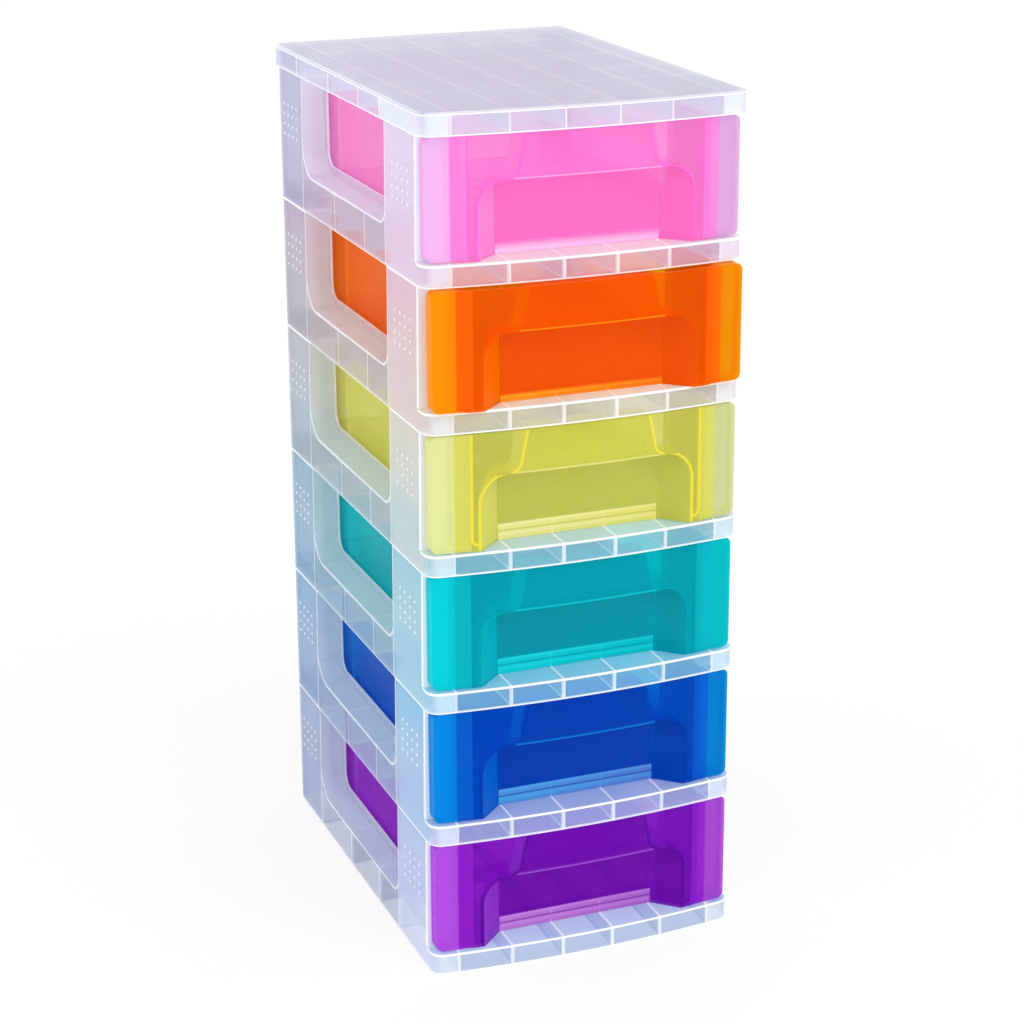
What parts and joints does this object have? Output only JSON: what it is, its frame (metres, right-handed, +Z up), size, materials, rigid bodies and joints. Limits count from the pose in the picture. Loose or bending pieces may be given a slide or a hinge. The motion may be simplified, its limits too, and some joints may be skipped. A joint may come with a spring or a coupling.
{
  "type": "drawer tower",
  "caption": "Tall narrow tower of stacked clear plastic frames with a flat lid, each holding a see-through coloured drawer that slides out by a pocket below its pull bar",
  "frame": {"origin": "middle of the tower's base, on the floor", "axes": "+Z up, the drawers open towards -Y, +X runs across the front from left to right as seen from the front"},
  "size_m": [0.306, 0.4419, 0.8],
  "materials": {
    "clear_plastic": "natural translucent polypropylene, smooth and slightly milky",
    "purple_plastic": "purple translucent polypropylene, glossy outside",
    "blue_plastic": "blue translucent polypropylene, glossy outside",
    "teal_plastic": "teal translucent polypropylene, glossy outside",
    "yellow_plastic": "yellow translucent polypropylene, glossy outside",
    "orange_plastic": "orange translucent polypropylene, glossy outside",
    "pink_plastic": "pink translucent polypropylene, glossy outside"
  },
  "bodies": {
    "tower": {"frame_1": "clear_plastic", "frame_2": "clear_plastic", "frame_3": "clear_plastic", "frame_4": "clear_plastic", "frame_5": "clear_plastic", "frame_6": "clear_plastic"},
    "drawer_purple": {"drawer_purple": "purple_plastic"},
    "drawer_blue": {"drawer_blue": "blue_plastic"},
    "drawer_teal": {"drawer_teal": "teal_plastic"},
    "drawer_yellow": {"drawer_yellow": "yellow_plastic"},
    "drawer_orange": {"drawer_orange": "orange_plastic"},
    "drawer_pink": {"drawer_pink": "pink_plastic"},
    "lid": {"lid": "clear_plastic"}
  },
  "joints": [
    {"name": "purple_drawer_slide", "type": "slide", "parent": "tower", "child": "drawer_purple", "axis": [0, -1, 0], "range_m": [0, 0.3]},
    {"name": "blue_drawer_slide", "type": "slide", "parent": "tower", "child": "drawer_blue", "axis": [0, -1, 0], "range_m": [0, 0.3]},
    {"name": "teal_drawer_slide", "type": "slide", "parent": "tower", "child": "drawer_teal", "axis": [0, -1, 0], "range_m": [0, 0.3]},
    {"name": "yellow_drawer_slide", "type": "slide", "parent": "tower", "child": "drawer_yellow", "axis": [0, -1, 0], "range_m": [-0.003, 0.297]},
    {"name": "orange_drawer_slide", "type": "slide", "parent": "tower", "child": "drawer_orange", "axis": [0, -1, 0], "range_m": [-0.011, 0.289]},
    {"name": "pink_drawer_slide", "type": "slide", "parent": "tower", "child": "drawer_pink", "axis": [0, -1, 0], "range_m": [0, 0.3]},
    {"name": "lid_lift", "type": "slide", "parent": "tower", "child": "lid", "axis": [0, 0, 1], "range_m": [0, 0.03]}
  ]
}
